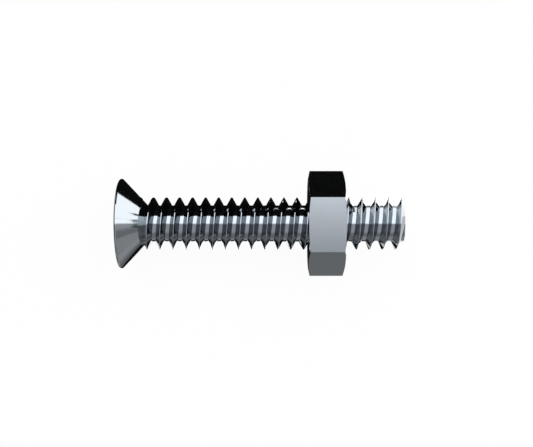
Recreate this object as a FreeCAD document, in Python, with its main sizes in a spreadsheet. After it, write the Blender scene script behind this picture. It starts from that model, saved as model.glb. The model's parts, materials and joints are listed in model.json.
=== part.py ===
import FreeCAD, Part
import os
import Sketcher

# Countersunk bolt with its hexagon nut, millimetres, +Z up.
# The origin is the centre of the flat head face, and the bolt runs along +X.
# The bolt lies on its side, with one flat of the nut down and the opposite one up.

# Driving sizes, each with what it measures; lengths in millimetres, angles in degrees
SIZES = [
    ("bolt_length", 34.42, "flat head face to free end"),
    ("head_diameter", 10.9, "widest part of the head's rim"),
    ("rim_land", 0.28, "edge of the rim, between the head face and the cone"),
    ("rim_draw_in", 0.12, "what the rim draws in towards the head face, radial"),
    ("cone_half_angle", 46.5, "cone of the head, from the bolt's axis"),
    ("thread_diameter", 6.35, "over the crests"),
    ("thread_pitch", 1.5875, "crest to crest"),
    ("thread_depth", 0.87, "crest to root"),
    ("thread_half_angle", 29, "flank of the thread, from a plane across the bolt"),
    ("thread_start", 1.19, "crest-high point of the cone to the first crest"),
    ("socket_across_flats", 3.97, "hexagon socket in the head face"),
    ("socket_depth", 2.3, "straight part of the socket"),
    ("socket_lead_in", 0.12, "countersink of the socket beyond its corners"),
    ("socket_point_half_angle", 60, "conical bottom of the socket, from the axis"),
    ("nut_across_flats", 11.07, "flat to opposite flat"),
    ("nut_thickness", 4.39, "face to face"),
    ("nut_station", 22.83, "head face to the nut's nearer face"),
    ("nut_chamfer_angle", 12, "chamfer of the nut's corners, from its faces"),
    ("nut_clearance", 0.03, "shank to the nut's bore, radial"),
    ("nut_mouth", 0.35, "countersink at each mouth of the nut's bore"),
]

# Lengths that follow from the driving sizes
HEAD_R = "sizes.head_diameter / 2"
CREST_R = "sizes.thread_diameter / 2"
CONE_FOOT_X = f"(sizes.rim_land + ({HEAD_R} - {CREST_R}) / tan(sizes.cone_half_angle))"
ROOT_R = "(sizes.thread_diameter / 2 - sizes.thread_depth)"
FIRST_CREST_X = f"({CONE_FOOT_X} + sizes.thread_start)"
SOCKET_R = "sizes.socket_across_flats / 2"
SOCKET_CORNER_R = "sizes.socket_across_flats / 2 / cos(30)"
LEAD_IN_R = f"({SOCKET_CORNER_R} + sizes.socket_lead_in)"
NUT_FLAT_R = "sizes.nut_across_flats / 2"
NUT_CORNER_R = "sizes.nut_across_flats / 2 / cos(30)"
BORE_R = "(sizes.thread_diameter / 2 + sizes.nut_clearance)"
MOUTH_R = f"({BORE_R} + sizes.nut_mouth)"

# How far a cutting outline reaches past the metal it removes
OVERCUT = 0.5

doc = FreeCAD.newDocument("CountersunkBolt")
sheet = doc.addObject("Spreadsheet::Sheet", "sizes")
for row, (alias, value, meaning) in enumerate(SIZES, start=1):
    sheet.set(f"A{row}", meaning)
    sheet.set(f"B{row}", str(value))
    sheet.setAlias(f"B{row}", alias)
doc.recompute()


def number(formula):
    """What a formula comes to with the sizes as they stand."""
    return float(sheet.evalExpression(formula))


def new_body(name):
    body = doc.addObject("PartDesign::Body", name)
    body.Label = name
    return body


def sketch_on(body, name, role):
    """A sketch on one of the body's own origin planes."""
    sketch = body.newObject("Sketcher::SketchObject", name)
    plane = next(f for f in body.Origin.OriginFeatures if f.Role == role)
    sketch.AttachmentSupport = [(plane, "")]
    sketch.MapMode = "FlatFace"
    return sketch


def pin_corner(sketch, edge, end, name, corner):
    """Holds one end of an edge at a corner given as two formulas."""
    for kind, letter, axis, formula in (
        ("DistanceX", "x", -2, corner[0]),
        ("DistanceY", "y", -1, corner[1]),
    ):
        if formula == "0":
            sketch.addConstraint(Sketcher.Constraint("PointOnObject", edge, end, axis))
            continue
        size = Sketcher.Constraint(kind, -1, 1, edge, end, number(formula))
        place = sketch.addConstraint(size)
        sketch.renameConstraint(place, f"{name}_{letter}")
        sketch.setExpression(f"Constraints.{name}_{letter}", formula)


def outline(sketch, name, corners):
    """A closed outline of straight lines from corner to corner."""
    first = sketch.GeometryCount
    count = len(corners)
    points = [FreeCAD.Vector(number(x), number(y), 0) for x, y in corners]
    for i in range(count):
        sketch.addGeometry(Part.LineSegment(points[i], points[(i + 1) % count]), False)
    for i in range(count):
        after = first + (i + 1) % count
        sketch.addConstraint(Sketcher.Constraint("Coincident", first + i, 2, after, 1))
    for i, corner in enumerate(corners):
        pin_corner(sketch, first + i, 1, f"{name}{i}", corner)


def hexagon(sketch, name, corner_r):
    """A hexagon with two corners on the first sketch axis, so two flats face +Z and -Z."""
    half = f"{corner_r} / 2"
    rise = f"{corner_r} * cos(30)"
    outline(sketch, name, [
        (corner_r, "0"),
        (half, rise),
        (f"-({half})", rise),
        (f"-({corner_r})", "0"),
        (f"-({half})", f"-({rise})"),
        (half, f"-({rise})"),
    ])


def turned(body, kind, name, sketch):
    """A full turn of a sketch about the bolt's axis, added or cut away."""
    feature = body.newObject(kind, name)
    feature.Profile = sketch
    feature.ReferenceAxis = (sketch, ["H_Axis"])
    feature.Angle = 360
    feature.Refine = False
    doc.recompute()
    return feature


def make_bolt():
    bolt = new_body("bolt")

    # Head, cone and shank in one turned outline; the cone runs down into the first ridge's flank
    slope = "tan(sizes.cone_half_angle)"
    flank = "tan(sizes.thread_half_angle)"
    valley_x = (
        f"({FIRST_CREST_X} / {flank} + {CONE_FOOT_X} * {slope}) / ({slope} + 1 / {flank})"
    )
    spare = OVERCUT / 2
    blank_profile = sketch_on(bolt, "blank_profile", "XZ_Plane")
    outline(blank_profile, "blank", [
        ("0", "0"),
        ("0", f"{HEAD_R} - sizes.rim_draw_in"),
        ("sizes.rim_land", HEAD_R),
        (valley_x, f"{CREST_R} - ({valley_x} - {CONE_FOOT_X}) * {slope}"),
        (f"{FIRST_CREST_X} + {spare} * {flank}", f"{CREST_R} + {spare}"),
        ("sizes.bolt_length", f"{CREST_R} + {spare}"),
        ("sizes.bolt_length", "0"),
    ])
    turned(bolt, "PartDesign::Revolution", "blank", blank_profile)

    # Thread: the gap between two ridges, a flat root and two flanks, at each pitch.
    # The blank stands proud of the crests, and the flanks of neighbouring gaps meet at them.
    gap_x = f"({FIRST_CREST_X} + sizes.thread_pitch / 2)"
    half_root = f"(sizes.thread_pitch / 2 - sizes.thread_depth * {flank})"
    half_mouth = f"({half_root} + (sizes.thread_depth + {OVERCUT}) * {flank})"
    past_r = f"({CREST_R} + {OVERCUT})"
    gap_profile = sketch_on(bolt, "gap_profile", "XZ_Plane")
    outline(gap_profile, "gap", [
        (f"{gap_x} - {half_root}", ROOT_R),
        (f"{gap_x} - {half_mouth}", past_r),
        (f"{gap_x} + {half_mouth}", past_r),
        (f"{gap_x} + {half_root}", ROOT_R),
    ])
    first_gap = turned(bolt, "PartDesign::Groove", "first_gap", gap_profile)
    thread = bolt.newObject("PartDesign::LinearPattern", "thread")
    thread.Originals = [first_gap]
    thread.Direction = (gap_profile, ["H_Axis"])
    thread.Refine = False
    gaps = f"(ceil((sizes.bolt_length - {FIRST_CREST_X}) / sizes.thread_pitch))"
    thread.setExpression("Occurrences", gaps)
    thread.setExpression("Length", f"sizes.thread_pitch * ({gaps} - 1)")
    bolt.Tip = thread
    doc.recompute()

    # Hexagon socket in the head face
    hexagon_profile = sketch_on(bolt, "socket_profile", "YZ_Plane")
    hexagon(hexagon_profile, "socket", SOCKET_CORNER_R)
    socket = bolt.newObject("PartDesign::Pocket", "socket")
    socket.Profile = hexagon_profile
    socket.Reversed = True
    socket.Refine = False
    socket.setExpression("Length", "sizes.socket_depth")
    doc.recompute()

    # Countersunk mouth and drilled point of the socket
    lead_in_x = f"({LEAD_IN_R} - {SOCKET_R})"
    point_x = f"sizes.socket_depth + {SOCKET_R} / tan(sizes.socket_point_half_angle)"
    turned_out = sketch_on(bolt, "socket_ends_profile", "XZ_Plane")
    outline(turned_out, "mouth", [
        ("0", "0"), ("0", LEAD_IN_R), (lead_in_x, SOCKET_R), (lead_in_x, "0"),
    ])
    turned(bolt, "PartDesign::Groove", "socket_mouth", turned_out)
    drilled = sketch_on(bolt, "socket_point_profile", "XZ_Plane")
    outline(drilled, "point", [
        ("sizes.socket_depth", "0"), ("sizes.socket_depth", SOCKET_R), (point_x, "0"),
    ])
    turned(bolt, "PartDesign::Groove", "socket_point", drilled)
    return bolt


def make_nut():
    nut = new_body("nut")

    hexagon_profile = sketch_on(nut, "nut_profile", "YZ_Plane")
    hexagon(hexagon_profile, "nut", NUT_CORNER_R)
    block = nut.newObject("PartDesign::Pad", "block")
    block.Profile = hexagon_profile
    block.Refine = False
    block.setExpression("Length", "sizes.nut_thickness")
    doc.recompute()

    # Corners chamfered at both faces, from the circle that touches the flats
    past_r = f"({NUT_CORNER_R} + {OVERCUT})"
    drop = f"({past_r} - {NUT_FLAT_R}) * tan(sizes.nut_chamfer_angle)"
    chamfers = sketch_on(nut, "chamfer_profile", "XZ_Plane")
    outline(chamfers, "near", [("0", NUT_FLAT_R), ("0", past_r), (drop, past_r)])
    outline(chamfers, "far", [
        ("sizes.nut_thickness", NUT_FLAT_R),
        (f"sizes.nut_thickness - {drop}", past_r),
        ("sizes.nut_thickness", past_r),
    ])
    turned(nut, "PartDesign::Groove", "corner_chamfers", chamfers)

    # Bore that runs over the shank, countersunk at both mouths
    bore = sketch_on(nut, "bore_profile", "XZ_Plane")
    outline(bore, "bore", [
        ("0", "0"),
        ("0", MOUTH_R),
        ("sizes.nut_mouth", BORE_R),
        ("sizes.nut_thickness - sizes.nut_mouth", BORE_R),
        ("sizes.nut_thickness", MOUTH_R),
        ("sizes.nut_thickness", "0"),
    ])
    turned(nut, "PartDesign::Groove", "bore", bore)
    nut.setExpression("Placement.Base.x", "sizes.nut_station")
    return nut


parts = [make_bolt(), make_nut()]
doc.recompute()

for item in doc.Objects:
    if "Invalid" in item.State or "Error" in item.State:
        raise RuntimeError(f"{item.Name} failed: {item.State}")
for part in parts:
    if part.Shape.isNull() or not part.Shape.isValid():
        raise RuntimeError(f"{part.Label} has no valid shape")

os.makedirs("parts", exist_ok=True)
for part in parts:
    part.Shape.exportStep(f"parts/{part.Label}.step")
    box = part.Shape.BoundBox
    print(
        part.Label, len(part.Shape.Solids), "solid", round(part.Shape.Volume, 3), "mm3",
        [round(v, 3) for v in (box.XMin, box.XMax, box.YMin, box.YMax, box.ZMin, box.ZMax)],
    )
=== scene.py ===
import json
import math

import bmesh
import bpy
from mathutils import Matrix, Vector


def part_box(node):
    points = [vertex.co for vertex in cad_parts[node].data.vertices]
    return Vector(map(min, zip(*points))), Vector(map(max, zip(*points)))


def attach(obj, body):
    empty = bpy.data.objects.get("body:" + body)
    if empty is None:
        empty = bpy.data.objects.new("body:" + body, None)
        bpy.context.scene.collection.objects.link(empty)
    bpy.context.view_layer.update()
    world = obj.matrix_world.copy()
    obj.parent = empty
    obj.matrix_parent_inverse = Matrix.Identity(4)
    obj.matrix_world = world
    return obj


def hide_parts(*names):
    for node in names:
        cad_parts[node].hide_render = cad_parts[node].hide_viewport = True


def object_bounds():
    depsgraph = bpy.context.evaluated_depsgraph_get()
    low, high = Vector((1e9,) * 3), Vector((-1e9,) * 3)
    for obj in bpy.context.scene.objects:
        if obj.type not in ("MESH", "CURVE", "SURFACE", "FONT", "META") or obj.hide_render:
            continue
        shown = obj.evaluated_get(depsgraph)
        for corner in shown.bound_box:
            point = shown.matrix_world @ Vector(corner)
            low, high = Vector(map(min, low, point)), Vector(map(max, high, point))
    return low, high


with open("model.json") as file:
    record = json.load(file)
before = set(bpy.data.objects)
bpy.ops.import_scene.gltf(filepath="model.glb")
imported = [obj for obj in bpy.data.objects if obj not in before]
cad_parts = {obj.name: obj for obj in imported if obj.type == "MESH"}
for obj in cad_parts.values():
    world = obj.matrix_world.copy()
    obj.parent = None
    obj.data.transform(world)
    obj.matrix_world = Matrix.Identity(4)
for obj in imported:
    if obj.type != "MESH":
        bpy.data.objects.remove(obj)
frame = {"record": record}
cad_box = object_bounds()

# Shapes are drawn in millimetres and become metres when a piece is finished
MM = 0.001

# Sizes that the frame gives, in millimetres
bolt_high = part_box("bolt")[1]
nut_low, nut_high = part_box("nut")
mounts = {mount["name"]: mount for mount in frame["record"]["mounts"]}
BOLT_LENGTH = bolt_high.x / MM
HEAD_R = max(bolt_high.y, bolt_high.z) / MM
CREST_R = mounts["thread"]["dims"]["r_mm"]
NUT_NEAR = nut_low.x / MM
NUT_FAR = nut_high.x / MM
NUT_FLAT_R = nut_high.z / MM
FLOOR_Z = cad_box[0][2] / MM

# Distance to a hexagon's corners for each unit of the distance to its flats
HEXAGON_CORNER = 1 / math.cos(math.radians(30))

# Head of the bolt, whose cone runs on inside the thread's roots to join with it
RIM_LAND = 0.28
RIM_ROUNDING = 0.2
CONE_EDGE_ROUNDING = 0.06
CONE_HALF_ANGLE = math.radians(46.5)
CONE_RUN_IN = 0.4

# Hexagon socket; the drilled point under it stays a hair inside its flats
SOCKET_FLAT_R = 1.985
SOCKET_DEPTH = 2.3
SOCKET_LEAD_IN = 0.12
DRILL_R = SOCKET_FLAT_R * 0.999
DRILL_HALF_ANGLE = math.radians(60)

# Thread, left-hand, with a crest on the +Y side at each pitch from CREST_X
PITCH = 1.5875
THREAD_DEPTH = 0.97
CREST_WIDTH = 0.08
FLANK_HALF_ANGLE = math.radians(29)
CREST_X = 4.0275
STEPS_PER_TURN = 180
THREAD_WELD = 0.0001

# Nut
NUT_CHAMFER_ANGLE = math.radians(12)
NUT_MOUTH_R = CREST_R + 0.38
NUT_THREAD_CLEARANCE = 0.05
NUT_EDGE_ROUNDING = 0.05
NUT_EDGE_STEPS = 2
NUT_EDGE_ANGLE = math.radians(40)

# Smoothness of the round shapes; nearer to the axis than ON_AXIS, a turned outline meets it
STEPS_ROUND = 192
ARC_STEP = math.radians(18)
ON_AXIS = 1e-6
SHARP_ANGLE = math.radians(32)

# How far a cutting shape reaches past what it cuts, or stays off a face that it leaves whole
OVERCUT = 1.0
SQUARE_CUT_REACH = 3 * PITCH
FACE_GAP = 0.001

# Cutting leaves slivers along its edges, and points closer than this are welded
SLIVER = 0.002

# Polished steel, with patterns in waves per metre and the height of its fine lines in metres
STEEL_TONE = 0.43
STEEL_TINTS = (0.87, 0.94, 1.0), (0.92, 0.99, 1.05)
CLOUD_SCALE = 420.0
LINE_SCALE = (9000.0, 500.0, 500.0)
LEAST_ROUGHNESS = 0.05
CLOUD_ROUGHNESS = 0.03
LINE_ROUGHNESS = 0.03
LINE_BUMP = 0.04
LINE_HEIGHT = 0.00002

# Floor: half its width, its grey, and the share of its white that takes no shadow
FLOOR_HALF = 3000
FLOOR_WHITE = 0.95
FLOOR_OWN_WHITE = 0.95

# Studio cards: height of those that lie flat, and the light of the darkest and the brightest
CARD_Z = FLOOR_Z + 0.02
BLACK = 0.007
WHITE = 2.25

# Surroundings: the light everywhere, and what is added above the low near side and in the panel
EVEN_LIGHT = 0.3
RAISED_LIGHT = 0.28
PANEL_LIGHT = 1.75
LIGHT_TINT = (0.97, 0.985, 1.02, 1)

# Where these begin and end, in degrees of lean from overhead to the far side
RAISED_EDGE = -75, -45
PANEL_NEAR_EDGE = -4.8, 5.6
PANEL_FAR_EDGE = 48, 60

# Dark behind the head: how far a direction points to -X and up at its edges, and how dark it is
DARK_TURN_EDGE = 0.35, 0.6
DARK_RISE_EDGE = 0.12, 0.2
DARK_SHARE = 0.95

# Camera: where it looks, from how far, and its lean to the far side in radians
SENSOR = 36.0
LENS = 67.4
SHIFT_X = -0.0267
NEAREST_SEEN = 1
LOOKED_AT_X = 19.51
CAMERA_DISTANCE = 121.55
CAMERA_LEAN = 0.0249


class Value:
    """A number that varies over a surface or a mesh, held as a node's output."""

    def __init__(self, graph, socket):
        self.graph = graph
        self.socket = socket

    def __add__(self, other):
        return self.graph.maths("ADD", self, other)

    def __radd__(self, other):
        return self.graph.maths("ADD", other, self)

    def __sub__(self, other):
        return self.graph.maths("SUBTRACT", self, other)

    def __rsub__(self, other):
        return self.graph.maths("SUBTRACT", other, self)

    def __mul__(self, other):
        return self.graph.maths("MULTIPLY", self, other)

    def __rmul__(self, other):
        return self.graph.maths("MULTIPLY", other, self)

    def __truediv__(self, other):
        return self.graph.maths("DIVIDE", self, other)

    def __rtruediv__(self, other):
        return self.graph.maths("DIVIDE", other, self)

    def floor(self):
        return self.graph.maths("FLOOR", self)

    def cos(self):
        return self.graph.maths("COSINE", self)

    def sin(self):
        return self.graph.maths("SINE", self)


class Made:
    """A node that was added, with its outputs as values."""

    def __init__(self, graph, node):
        self.graph = graph
        self.node = node

    def value(self, output=0):
        return Value(self.graph, self.node.outputs[output])


class Graph:
    """A node tree that grows by one method, which the others call."""

    def __init__(self, tree):
        self.tree = tree

    def node(self, kind, settings=None, inputs=None):
        made = self.tree.nodes.new(kind)
        for name, setting in (settings or {}).items():
            setattr(made, name, setting)
        for key, value in (inputs or {}).items():
            if isinstance(value, Value):
                self.tree.links.new(value.socket, made.inputs[key])
            else:
                made.inputs[key].default_value = value
        return Made(self, made)

    def maths(self, operation, *values):
        """What a Math node works out from values and numbers."""
        inputs = dict(enumerate(values))
        return self.node("ShaderNodeMath", {"operation": operation}, inputs).value()

    def past(self, value, low, high):
        """A smooth change from 0 to 1 as a value goes from low to high."""
        return self.node("ShaderNodeMapRange", {"interpolation_type": "SMOOTHSTEP"}, {
            "Value": value, "From Min": low, "From Max": high,
        }).value()

    def mixed(self, share, first, second):
        """One shader that turns into a second one as the share goes from 0 to 1."""
        return self.node("ShaderNodeMixShader", None, {0: share, 1: first, 2: second}).value()


def empty_graph(owner):
    """The node tree of a new material or world, emptied."""
    owner.use_nodes = True
    owner.node_tree.nodes.clear()
    return Graph(owner.node_tree)


def new_object(name, mesh):
    shape = bpy.data.objects.new(name, mesh)
    bpy.context.scene.collection.objects.link(shape)
    return shape


def settle(shape):
    """Turns what the modifiers make of a shape into its own plain mesh."""
    bpy.context.view_layer.update()
    evaluated = shape.evaluated_get(bpy.context.evaluated_depsgraph_get())
    mesh = bpy.data.meshes.new_from_object(evaluated)
    shape.modifiers.clear()
    shape.data = mesh


def combine(shape, tool, operation):
    """Joins, cuts or trims a closed shape with another, which is used up."""
    change = shape.modifiers.new("combine", "BOOLEAN")
    change.operation = operation
    change.solver = "EXACT"
    change.object = tool
    settle(shape)
    bpy.data.objects.remove(tool)


def rounded(corners):
    """An outline through (x, y) corners; one with a radius after its place becomes an arc."""
    points = []
    for i, (x, y, *radii) in enumerate(corners):
        corner = Vector((x, y))
        if not radii:
            points.append(corner)
            continue
        radius = radii[0]
        back = (Vector(corners[i - 1][:2]) - corner).normalized()
        ahead = (Vector(corners[i + 1][:2]) - corner).normalized()
        turn = math.pi - back.angle(ahead)
        reach = radius * math.tan(turn / 2)
        middle = corner + (back + ahead).normalized() * radius / math.cos(turn / 2)
        start = corner + back * reach - middle
        side = math.copysign(1, back.x * ahead.y - back.y * ahead.x)
        steps = max(2, round(turn / ARC_STEP))
        for k in range(steps + 1):
            swing = Matrix.Rotation(side * -turn * k / steps, 2)
            points.append(middle + swing @ start)
    return points


def ring(shape, x, radius, steps):
    """Adds points evenly spaced on a circle round the X axis, the first on the +Y side."""
    points = []
    for k in range(steps):
        angle = 2 * math.pi * k / steps
        place = (x, radius * math.cos(angle), radius * math.sin(angle))
        points.append(shape.verts.new(place))
    return points


def closed_object(name, shape):
    """The object that a closed shape makes, with its faces outwards."""
    bmesh.ops.recalc_face_normals(shape, faces=shape.faces)
    mesh = bpy.data.meshes.new(name)
    shape.to_mesh(mesh)
    shape.free()
    return new_object(name, mesh)


def turned(name, corners):
    """A closed solid made by turning an outline of (x, radius) corners, from axis to axis."""
    shape = bmesh.new()
    rings = []
    for point in rounded(corners):
        if point.y < ON_AXIS:
            rings.append([shape.verts.new((point.x, 0, 0))])
        else:
            rings.append(ring(shape, point.x, point.y, STEPS_ROUND))
    for first, second in zip(rings, rings[1:]):
        for k in range(STEPS_ROUND):
            after = (k + 1) % STEPS_ROUND
            face = [first[k % len(first)], first[after % len(first)]]
            face += [second[after % len(second)], second[k % len(second)]]
            shape.faces.new(list(dict.fromkeys(face)))
    return closed_object(name, shape)


def hexagon_bar(name, low, high, flat_r):
    """A hexagon bar along X with two corners on the Y axis, so two flats face up and down."""
    shape = bmesh.new()
    ends = [ring(shape, x, flat_r * HEXAGON_CORNER, 6) for x in (low, high)]
    for end in ends:
        shape.faces.new(end)
    for k in range(6):
        after = (k + 1) % 6
        shape.faces.new([ends[0][k], ends[0][after], ends[1][after], ends[1][k]])
    return closed_object(name, shape)


def thread_outline(growth):
    """One ridge of the thread as an (x, radius) outline from root to root, grown outwards."""
    crest_r = CREST_R + growth
    root_r = CREST_R - THREAD_DEPTH + growth
    crest = CREST_WIDTH / 2
    foot = crest + THREAD_DEPTH * math.tan(FLANK_HALF_ANGLE)
    return [
        (-PITCH / 2, root_r),
        (-foot, root_r),
        (-crest, crest_r),
        (crest, crest_r),
        (foot, root_r),
        (PITCH / 2, root_r),
    ]


def winding_tree():
    """Node tree that winds the outline of one ridge round X into a left-hand thread."""
    tree = bpy.data.node_groups.new("left_hand_thread", "GeometryNodeTree")
    sockets = {
        "Geometry": "Geometry",
        "Start": "Float",
        "Pitch": "Float",
        "Turns": "Int",
        "Steps per Turn": "Int",
        "Weld Distance": "Float",
        "Material": "Material",
    }
    for name, kind in sockets.items():
        tree.interface.new_socket(name, in_out="INPUT", socket_type="NodeSocket" + kind)
    tree.interface.new_socket("Geometry", in_out="OUTPUT", socket_type="NodeSocketGeometry")

    graph = Graph(tree)
    given = graph.node("NodeGroupInput")
    outline = given.value("Geometry")
    steps = given.value("Steps per Turn")
    count = graph.node("GeometryNodeAttributeDomainSize", {"component": "MESH"}, {
        "Geometry": outline,
    })
    points = count.value("Point Count")
    grid = graph.node("GeometryNodeMeshGrid", None, {
        "Vertices X": given.value("Turns") * steps + 1,
        "Vertices Y": points,
    })

    # Each row of the grid is one outline; its step round the axis is also its way along it
    index = graph.node("GeometryNodeInputIndex").value()
    row = ((index + 0.5) / points).floor()
    place = index - row * points + 0.5
    settings = {"data_type": "FLOAT_VECTOR", "domain": "POINT"}
    sample = graph.node("GeometryNodeSampleIndex", settings, {
        "Geometry": outline,
        "Value": graph.node("GeometryNodeInputPosition").value(),
        "Index": place,
    })
    drawn = graph.node("ShaderNodeSeparateXYZ", None, {0: sample.value()})
    along, radius = drawn.value("X"), drawn.value("Y")
    turn = row / steps
    angle = turn * (-2 * math.pi)
    wound = graph.node("ShaderNodeCombineXYZ", None, {
        "X": given.value("Start") + along + turn * given.value("Pitch"),
        "Y": radius * angle.cos(),
        "Z": radius * angle.sin(),
    })
    moved = graph.node("GeometryNodeSetPosition", None, {
        "Geometry": grid.value("Mesh"),
        "Position": wound.value(),
    })
    welded = graph.node("GeometryNodeMergeByDistance", None, {
        "Geometry": moved.value(),
        "Distance": given.value("Weld Distance"),
    })
    real = graph.node("GeometryNodeRealizeInstances", None, {"Geometry": welded.value()})
    coated = graph.node("GeometryNodeSetMaterial", None, {
        "Geometry": real.value(),
        "Material": given.value("Material"),
    })
    graph.node("NodeGroupOutput", None, {"Geometry": coated.value()})
    return tree


def close_ends(mesh):
    """Closes the two open ends of a wound thread with a fan to the axis."""
    shape = bmesh.new()
    shape.from_mesh(mesh)
    edges = [edge for edge in shape.edges if edge.is_boundary]
    middle = sum(edge.verts[0].co.x for edge in edges) / len(edges)
    near = [edge for edge in edges if edge.verts[0].co.x < middle]
    far = [edge for edge in edges if edge.verts[0].co.x >= middle]
    for loop in (near, far):
        x = sum(edge.verts[0].co.x for edge in loop) / len(loop)
        centre = shape.verts.new((x, 0, 0))
        for edge in loop:
            shape.faces.new([edge.verts[0], edge.verts[1], centre])
    bmesh.ops.recalc_face_normals(shape, faces=shape.faces)
    shape.to_mesh(mesh)
    shape.free()


def wound_thread(name, tree, low, high, growth, steel):
    """A closed threaded rod that reaches at least from low to high, in step with CREST_X."""
    outline = thread_outline(growth)
    mesh = bpy.data.meshes.new(name)
    links = [(i, i + 1) for i in range(len(outline) - 1)]
    mesh.from_pydata([(x, radius, 0) for x, radius in outline], links, [])
    rod = new_object(name, mesh)
    start = CREST_X + PITCH * math.floor((low - PITCH / 2 - CREST_X) / PITCH)
    turns = math.ceil((high + PITCH / 2 - start) / PITCH)
    winding = rod.modifiers.new("winding", "NODES")
    winding.node_group = tree
    sizes = {
        "Start": start,
        "Pitch": PITCH,
        "Turns": turns,
        "Steps per Turn": STEPS_PER_TURN,
        "Weld Distance": THREAD_WELD,
        "Material": steel,
    }
    for item in tree.interface.items_tree:
        if item.in_out == "INPUT" and item.name in sizes:
            winding[item.identifier] = sizes[item.name]
    settle(rod)
    close_ends(rod.data)
    return rod


def make_bolt(tree, steel):
    """Threaded shank, countersunk head and hexagon socket, as one closed piece."""
    core_r = CREST_R - THREAD_DEPTH - CONE_RUN_IN
    cone_end = RIM_LAND + (HEAD_R - core_r) / math.tan(CONE_HALF_ANGLE)
    bolt = turned("countersunk_bolt", [
        (0, 0),
        (0, HEAD_R, RIM_ROUNDING),
        (RIM_LAND, HEAD_R, CONE_EDGE_ROUNDING),
        (cone_end, core_r),
        (cone_end, 0),
    ])
    cone_start = RIM_LAND + (HEAD_R - CREST_R) / math.tan(CONE_HALF_ANGLE)
    shank = wound_thread("shank", tree, cone_start, BOLT_LENGTH, 0, steel)
    combine(bolt, shank, "UNION")

    # Square cut at the free end
    past_end = BOLT_LENGTH + SQUARE_CUT_REACH
    combine(bolt, hexagon_bar("cut", BOLT_LENGTH, past_end, HEAD_R), "DIFFERENCE")

    # Hexagon socket with its countersunk mouth and drilled point
    combine(bolt, hexagon_bar("socket", -OVERCUT, SOCKET_DEPTH, SOCKET_FLAT_R), "DIFFERENCE")
    mouth_r = SOCKET_FLAT_R * HEXAGON_CORNER + SOCKET_LEAD_IN
    tip_r = SOCKET_FLAT_R / 2
    combine(bolt, turned("mouth", [
        (-OVERCUT, 0),
        (-OVERCUT, mouth_r + OVERCUT),
        (mouth_r - tip_r, tip_r),
        (mouth_r - tip_r, 0),
    ]), "DIFFERENCE")
    combine(bolt, turned("point", [
        (SOCKET_DEPTH - OVERCUT, 0),
        (SOCKET_DEPTH - OVERCUT, DRILL_R),
        (SOCKET_DEPTH, DRILL_R),
        (SOCKET_DEPTH + SOCKET_FLAT_R / math.tan(DRILL_HALF_ANGLE), 0),
    ]), "DIFFERENCE")
    return bolt


def make_nut(tree, steel):
    """Hexagon nut with chamfered corners, countersunk mouths and its own inner thread."""
    nut = hexagon_bar("hexagon_nut", NUT_NEAR, NUT_FAR, NUT_FLAT_R)
    past_r = NUT_FLAT_R * HEXAGON_CORNER + OVERCUT
    drop = (past_r - NUT_FLAT_R) * math.tan(NUT_CHAMFER_ANGLE)
    combine(nut, turned("chamfers", [
        (NUT_NEAR - FACE_GAP, 0),
        (NUT_NEAR - FACE_GAP, NUT_FLAT_R),
        (NUT_NEAR + drop, past_r),
        (NUT_FAR - drop, past_r),
        (NUT_FAR + FACE_GAP, NUT_FLAT_R),
        (NUT_FAR + FACE_GAP, 0),
    ]), "INTERSECT")
    edge = nut.modifiers.new("edge", "BEVEL")
    edge.width = NUT_EDGE_ROUNDING
    edge.segments = NUT_EDGE_STEPS
    edge.limit_method = "ANGLE"
    edge.angle_limit = NUT_EDGE_ANGLE
    settle(nut)
    bore = wound_thread("bore", tree, NUT_NEAR, NUT_FAR, NUT_THREAD_CLEARANCE, steel)
    combine(nut, bore, "DIFFERENCE")
    for face, inwards in ((NUT_NEAR, 1), (NUT_FAR, -1)):
        combine(nut, turned("mouth", [
            (face - inwards * OVERCUT, 0),
            (face - inwards * OVERCUT, NUT_MOUTH_R + OVERCUT),
            (face + inwards * NUT_MOUTH_R, 0),
        ]), "DIFFERENCE")
    return nut


def weld_slivers(mesh):
    """Welds the slivers that cutting leaves along its edges, so that the surface stays closed."""
    shape = bmesh.new()
    shape.from_mesh(mesh)
    bmesh.ops.remove_doubles(shape, verts=shape.verts, dist=SLIVER)
    bmesh.ops.dissolve_degenerate(shape, edges=shape.edges, dist=SLIVER)
    shape.to_mesh(mesh)
    shape.free()


def finish_piece(piece, node, steel):
    """Puts a drawn shape in metres on its CAD body, smooth with crisp edges, in its steel."""
    mesh = piece.data
    weld_slivers(mesh)
    mesh.transform(Matrix.Scale(MM, 4))
    mesh.materials.clear()
    mesh.materials.append(steel)
    for polygon in mesh.polygons:
        polygon.material_index = 0
    mesh.shade_smooth()
    mesh.set_sharp_from_angle(angle=SHARP_ANGLE)
    even = piece.modifiers.new("even", "WEIGHTED_NORMAL")
    even.keep_sharp = True
    settle(piece)
    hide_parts(node)
    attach(piece, node)


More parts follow.
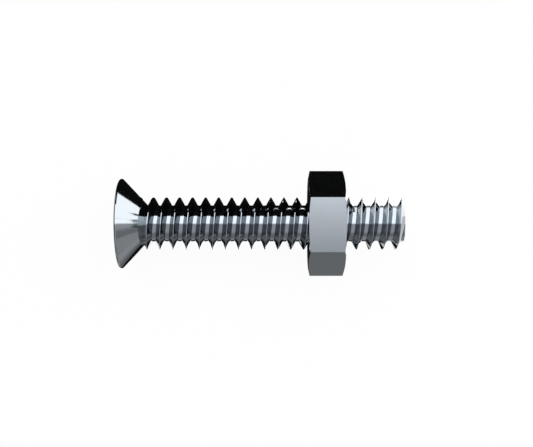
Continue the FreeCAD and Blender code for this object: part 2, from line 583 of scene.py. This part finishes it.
def polished_steel(name):
    """Bright polished steel with faint polishing lines and slight clouding."""
    steel = bpy.data.materials.new(name)
    graph = empty_graph(steel)
    place = graph.node("ShaderNodeTexCoord").value("Object")
    clouds = graph.node("ShaderNodeTexNoise", None, {
        "Vector": place, "Scale": CLOUD_SCALE, "Detail": 3.0,
    }).value()
    stretch = graph.node("ShaderNodeMapping", None, {
        "Vector": place, "Scale": LINE_SCALE,
    }).value()
    lines = graph.node("ShaderNodeTexNoise", None, {
        "Vector": stretch, "Scale": 1.0, "Detail": 2.0,
    }).value()
    first, second = [[STEEL_TONE * part for part in tint] + [1] for tint in STEEL_TINTS]
    colour = graph.node("ShaderNodeMix", {"data_type": "RGBA"}, {
        0: clouds, 6: first, 7: second,
    }).value(2)
    roughness = LEAST_ROUGHNESS + clouds * CLOUD_ROUGHNESS + lines * LINE_ROUGHNESS
    bump = graph.node("ShaderNodeBump", None, {
        "Strength": LINE_BUMP, "Distance": LINE_HEIGHT, "Height": lines,
    }).value()
    surface = graph.node("ShaderNodeBsdfPrincipled", None, {
        "Base Color": colour, "Metallic": 1.0, "Roughness": roughness, "Normal": bump,
    }).value()
    graph.node("ShaderNodeOutputMaterial", None, {"Surface": surface})
    return steel


def glow(graph, light):
    """A surface that gives off even white light."""
    return graph.node("ShaderNodeEmission", None, {
        "Color": (1, 1, 1, 1), "Strength": light,
    }).value()


def make_floor():
    """A plain white floor that the nut's lower flat and the head's rim lie on."""
    sides = ((-1, -1), (1, -1), (1, 1), (-1, 1))
    corners = [Vector((x * FLOOR_HALF, y * FLOOR_HALF, FLOOR_Z)) * MM for x, y in sides]
    mesh = bpy.data.meshes.new("floor")
    mesh.from_pydata(corners, [], [(0, 1, 2, 3)])
    floor = new_object("floor", mesh)
    paint = bpy.data.materials.new("white_floor")
    graph = empty_graph(paint)
    grey = (FLOOR_WHITE, FLOOR_WHITE, FLOOR_WHITE, 1)
    matt = graph.node("ShaderNodeBsdfDiffuse", None, {"Color": grey}).value()

    # The camera and the steel see most of the white as the floor's own; the rest takes shadow
    path = graph.node("ShaderNodeLightPath")
    seen = graph.maths("MAXIMUM", path.value("Is Camera Ray"), path.value("Is Glossy Ray"))
    seen = graph.maths("MAXIMUM", seen, path.value("Is Transmission Ray"))
    surface = graph.mixed(seen * FLOOR_OWN_WHITE, matt, glow(graph, 1.0))
    graph.node("ShaderNodeOutputMaterial", None, {"Surface": surface})
    mesh.materials.append(paint)


def make_card(name, across, along, light, top=CARD_Z, fade=None):
    """A studio card seen only in the steel, from y to y and from x to x, just above the floor.

    With a top, its second side across stands up to that height. A fade is the axis that it
    runs along, where it starts and ends, and the light that it ends in.
    """
    mesh = bpy.data.meshes.new(name)
    sides = zip(across, (CARD_Z, top))
    points = [(x * MM, y * MM, z * MM) for y, z in sides for x in along]
    mesh.from_pydata(points, [], [(0, 1, 3, 2)])
    card = new_object(name, mesh)
    paint = bpy.data.materials.new(name)
    graph = empty_graph(paint)
    surface = glow(graph, light)
    if fade:
        axis, start, end, last_light = fade
        place = graph.node("ShaderNodeTexCoord").value("Object")
        distance = graph.node("ShaderNodeSeparateXYZ", None, {0: place}).value(axis)
        share = graph.past(distance, start * MM, end * MM)
        surface = graph.mixed(share, surface, glow(graph, last_light))
    graph.node("ShaderNodeOutputMaterial", None, {"Surface": surface})
    mesh.materials.append(paint)
    card.visible_camera = False
    card.visible_diffuse = False
    card.visible_shadow = False


def make_cards():
    """Black cards on the far side, pale ones past the free end, grey and black on the near side."""
    far_side = (-18, 28.6)
    far_side_beyond = (-18, 400)
    make_card("far_ground", (-1, 14.5), far_side, BLACK)
    make_card("far_strip_at_end", (4.1, 8), (28.6, 34), BLACK)
    make_card("end_glow", (1, 4.1), (28.6, 45), 1.7)
    make_card(
        "far_ground_beyond", (14.5, 24), far_side_beyond, BLACK,
        fade=("X", 17.5, 20.5, WHITE),
    )
    make_card(
        "far_wall", (24, 25), far_side_beyond, BLACK, top=22,
        fade=("X", 28.5, 29.5, WHITE),
    )

    # Screens that the nut's sloping sides mirror
    beside_nut = (22.6, 29)
    make_card("nut_far_screen", (9, 9), beside_nut, BLACK, top=3.3)
    make_card("nut_near_screen", (-9, -9), beside_nut, 0.27, top=2.3)

    # Greys that reach far out on the near side
    near_side = (-60, 2500)
    make_card("near_ground", (-19.5, -8), near_side, 0.51, fade=("Y", -14, -8, 0.17))
    make_card("near_ground_beyond", (-2000, -19.5), near_side, 0.29, fade=("X", 20, 24, 0.47))

    # Close to the bolt: a black strip, and a bright one under the thread, both open at the nut
    strip, under = (-8, -4.2), (-4.2, -1)
    make_card("near_strip", strip, (-6, 22.8), BLACK)
    make_card("near_strip_past_nut", strip, (27.3, 30.5), BLACK)
    make_card("under_thread", under, (4.6, 19.6), 1.5)
    make_card("under_nut_edge", under, (19.6, 22.8), BLACK)
    make_card("under_thread_at_end", under, (27.3, 34.6), 1.5)


def make_world():
    """Soft studio light: a wide bright panel overhead on the far side, dark behind the head."""
    world = bpy.data.worlds.new("studio")
    graph = empty_graph(world)
    direction = graph.node("ShaderNodeTexCoord").value("Generated")
    parts = graph.node("ShaderNodeSeparateXYZ", None, {0: direction})
    lean = graph.maths("ARCTAN2", parts.value("Y"), parts.value("Z"))

    def leaning(edge):
        return graph.past(lean, math.radians(edge[0]), math.radians(edge[1]))

    panel = leaning(PANEL_NEAR_EDGE) * (1 - leaning(PANEL_FAR_EDGE))
    to_head = graph.past(parts.value("X") * -1.0, *DARK_TURN_EDGE)
    behind_head = to_head * graph.past(parts.value("Z"), *DARK_RISE_EDGE)
    strength = EVEN_LIGHT + leaning(RAISED_EDGE) * RAISED_LIGHT + panel * PANEL_LIGHT
    light = graph.node("ShaderNodeBackground", None, {
        "Color": LIGHT_TINT, "Strength": strength * (1 - behind_head * DARK_SHARE),
    }).value()
    backdrop = graph.node("ShaderNodeBackground", None, {
        "Color": (1, 1, 1, 1), "Strength": 1.0,
    }).value()
    seen = graph.node("ShaderNodeLightPath").value("Is Camera Ray")
    surface = graph.mixed(seen, light, backdrop)
    graph.node("ShaderNodeOutputWorld", None, {"Surface": surface})
    bpy.context.scene.world = world


def make_camera():
    """Looks straight down at the bolt, a little from the far side, as the photo does."""
    view = bpy.data.cameras.new("camera")
    view.sensor_width = SENSOR
    view.lens = LENS
    view.shift_x = SHIFT_X
    view.clip_start = NEAREST_SEEN * MM
    camera = new_object("camera", view)
    up = Vector((0, math.sin(CAMERA_LEAN), math.cos(CAMERA_LEAN)))
    camera.location = (Vector((LOOKED_AT_X, 0, 0)) + CAMERA_DISTANCE * up) * MM
    camera.rotation_euler = (-CAMERA_LEAN, 0, 0)
    bpy.context.scene.camera = camera


winding = winding_tree()
pieces = (("bolt", "polished_steel", make_bolt), ("nut", "nut_steel", make_nut))
for node, slot, make in pieces:
    steel = polished_steel(slot)
    finish_piece(make(winding, steel), node, steel)
make_floor()
make_cards()
make_world()
make_camera()
bpy.context.scene.view_settings.view_transform = "Standard"
